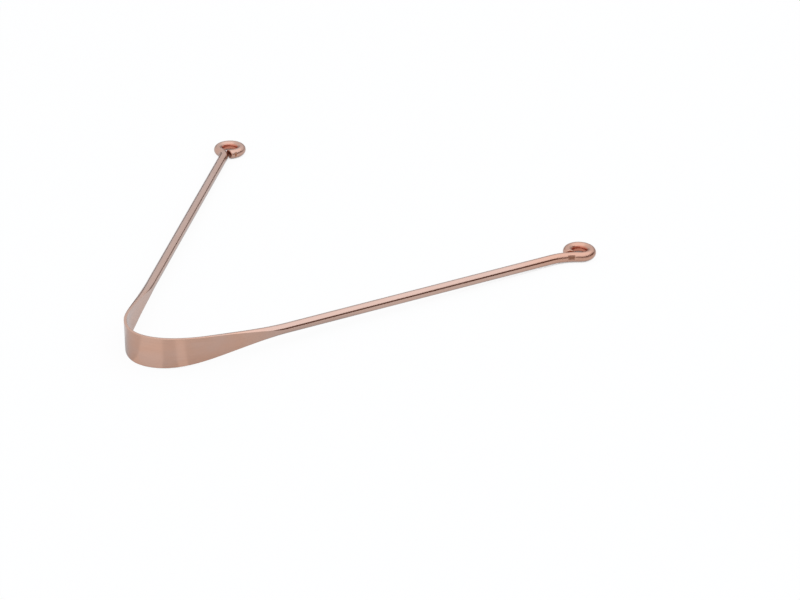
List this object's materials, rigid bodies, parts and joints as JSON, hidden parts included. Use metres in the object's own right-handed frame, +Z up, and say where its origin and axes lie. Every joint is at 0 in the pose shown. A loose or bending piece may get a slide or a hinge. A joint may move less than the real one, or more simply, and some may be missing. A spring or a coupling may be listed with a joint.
{
  "type": "tongue scraper",
  "caption": "Bent copper-wire tongue scraper: a flat curved scraping strip carried by springy round arms that end in small curled eyes.",
  "frame": {"origin": "on the surface that the scraper lies on, under the middle of its bounding box", "axes": "+Z up from that surface; +Y from the blade towards the handles, along the line between the arms; +X to the right arm"},
  "size_m": [0.1382, 0.1238, 0.0089],
  "materials": {
    "copper": "polished"
  },
  "bodies": {
    "blade": {"scraping_blade": "copper"},
    "left_handle": {"left_shoulder": "copper", "left_arm": "copper", "left_eye": "copper"},
    "right_handle": {"right_shoulder": "copper", "right_arm": "copper", "right_eye": "copper"}
  },
  "joints": [
    {"name": "left_flex", "type": "hinge", "parent": "blade", "child": "left_handle", "pos_m": [-0.01198, -0.05386, 0.00431], "axis": [0, -0.0254, -0.9997], "range_deg": [-9, 9], "stiffness_Nm_per_rad": 1.7},
    {"name": "right_flex", "type": "hinge", "parent": "blade", "child": "right_handle", "pos_m": [0.01185, -0.05386, 0.00431], "axis": [0, 0.0254, 0.9997], "range_deg": [-9, 9], "stiffness_Nm_per_rad": 1.7}
  ]
}
